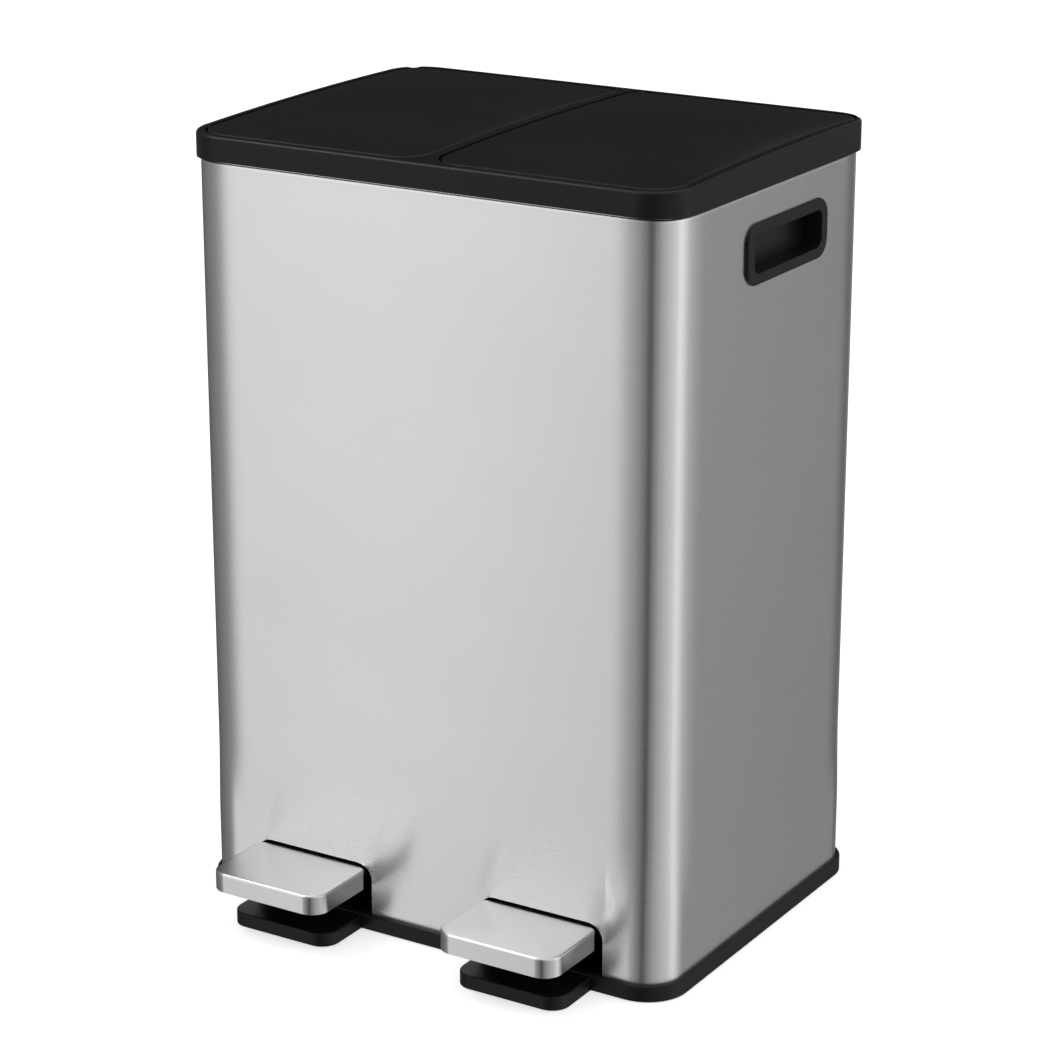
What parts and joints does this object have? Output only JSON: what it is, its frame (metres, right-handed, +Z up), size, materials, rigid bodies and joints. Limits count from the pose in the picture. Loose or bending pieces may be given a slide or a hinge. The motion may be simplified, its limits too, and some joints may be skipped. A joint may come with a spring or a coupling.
{
  "type": "recycling bin",
  "caption": "Pedal recycling bin with a steel wrapped body, moulded rim and base, side-by-side crowned lids, lift-out buckets, side grips, and pedals that raise the lids by rods.",
  "frame": {"origin": "on the floor, under the middle of the whole footprint, pedals included", "axes": "+X to the right seen from the front, +Y to the back, +Z up; the pedals face -Y"},
  "size_m": [0.4436, 0.3978, 0.6499],
  "materials": {
    "wrap_steel": "fine horizontal brushing, clear fingerprint coat",
    "pedal_steel": "brushed top, bright pressed edges",
    "lid_plastic": "satin black moulding, very fine grain",
    "rim_plastic": "satin black moulding",
    "base_plastic": "matt black moulding with a fine grain",
    "grip_plastic": "satin black moulding",
    "core_plastic": "matt black moulding",
    "liner_plastic": "matt black moulding",
    "inner_plastic": "dark grey moulding",
    "bucket_plastic": "dark grey moulding, slightly waxy",
    "rubber": "matt black rubber",
    "zinc_steel": "zinc-plated pressed steel",
    "pin_steel": "ground steel",
    "screw_steel": "plated screw",
    "damper_body": "light grey moulding",
    "nylon": "natural nylon"
  },
  "bodies": {
    "bin": {"body_shell": "wrap_steel", "base_tray": "base_plastic", "rubber_feet": "rubber", "pedal_stops": "rubber", "bucket_shelf": "inner_plastic", "shelf_screws": "screw_steel", "bracket_screws": "screw_steel", "top_rim": "rim_plastic", "lid_bumpers": "rubber", "hinge_pins_left": "pin_steel", "rod_channel_left": "inner_plastic", "damper_tube_left": "damper_body", "pedal_axle_left": "pin_steel", "pivot_bracket_left": "zinc_steel", "grip_frame_left": "grip_plastic", "grip_cup_left": "grip_plastic", "hinge_pins_right": "pin_steel", "rod_channel_right": "inner_plastic", "damper_tube_right": "damper_body", "pedal_axle_right": "pin_steel", "pivot_bracket_right": "zinc_steel", "grip_frame_right": "grip_plastic", "grip_cup_right": "grip_plastic"},
    "lid_left": {"lid_cover_left": "lid_plastic", "lid_liner_left": "liner_plastic", "lid_screws_left": "screw_steel", "crank_pin_left": "pin_steel"},
    "lift_rod_left": {"lift_rod_left": "zinc_steel", "damper_piston_left": "pin_steel", "damper_arm_left": "inner_plastic"},
    "pedal_left": {"pedal_cover_left": "pedal_steel", "pedal_core_left": "core_plastic", "pedal_screws_left": "screw_steel", "pedal_lever_left": "zinc_steel", "lever_bushes_left": "nylon", "lever_pin_left": "pin_steel"},
    "bucket_left": {"bucket_left": "bucket_plastic"},
    "lid_right": {"lid_cover_right": "lid_plastic", "lid_liner_right": "liner_plastic", "lid_screws_right": "screw_steel", "crank_pin_right": "pin_steel"},
    "lift_rod_right": {"lift_rod_right": "zinc_steel", "damper_piston_right": "pin_steel", "damper_arm_right": "inner_plastic"},
    "pedal_right": {"pedal_cover_right": "pedal_steel", "pedal_core_right": "core_plastic", "pedal_screws_right": "screw_steel", "pedal_lever_right": "zinc_steel", "lever_bushes_right": "nylon", "lever_pin_right": "pin_steel"},
    "bucket_right": {"bucket_right": "bucket_plastic"}
  },
  "joints": [
    {"name": "lid_left_hinge", "type": "hinge", "parent": "bin", "child": "lid_left", "pos_m": [-0.108, 0.18168, 0.638], "axis": [-1, 0, 0], "range_deg": [0, 77]},
    {"name": "pedal_left_pivot", "type": "hinge", "parent": "bin", "child": "pedal_left", "pos_m": [-0.108, -0.04093, 0.035], "axis": [1, 0, 0], "range_deg": [0, 8.4]},
    {"name": "rod_left_slide", "type": "slide", "parent": "bin", "child": "lift_rod_left", "axis": [0, 0, 1], "range_m": [0, 0.02952]},
    {"name": "bucket_left_lift", "type": "slide", "parent": "bin", "child": "bucket_left", "axis": [0, 0, 1], "range_m": [0, 0.012]},
    {"name": "lid_right_hinge", "type": "hinge", "parent": "bin", "child": "lid_right", "pos_m": [0.108, 0.18168, 0.638], "axis": [-1, 0, 0], "range_deg": [0, 77]},
    {"name": "pedal_right_pivot", "type": "hinge", "parent": "bin", "child": "pedal_right", "pos_m": [0.108, -0.04093, 0.035], "axis": [1, 0, 0], "range_deg": [0, 8.4]},
    {"name": "rod_right_slide", "type": "slide", "parent": "bin", "child": "lift_rod_right", "axis": [0, 0, 1], "range_m": [0, 0.02952]},
    {"name": "bucket_right_lift", "type": "slide", "parent": "bin", "child": "bucket_right", "axis": [0, 0, 1], "range_m": [0, 0.012]}
  ],
  "couplings": [
    {"joint": "pedal_left_pivot", "follows": "lid_left_hinge", "ratio": 0.10908},
    {"joint": "rod_left_slide", "follows": "lid_left_hinge", "m_per_rad": 0.021956},
    {"joint": "pedal_right_pivot", "follows": "lid_right_hinge", "ratio": 0.10908},
    {"joint": "rod_right_slide", "follows": "lid_right_hinge", "m_per_rad": 0.021956}
  ]
}
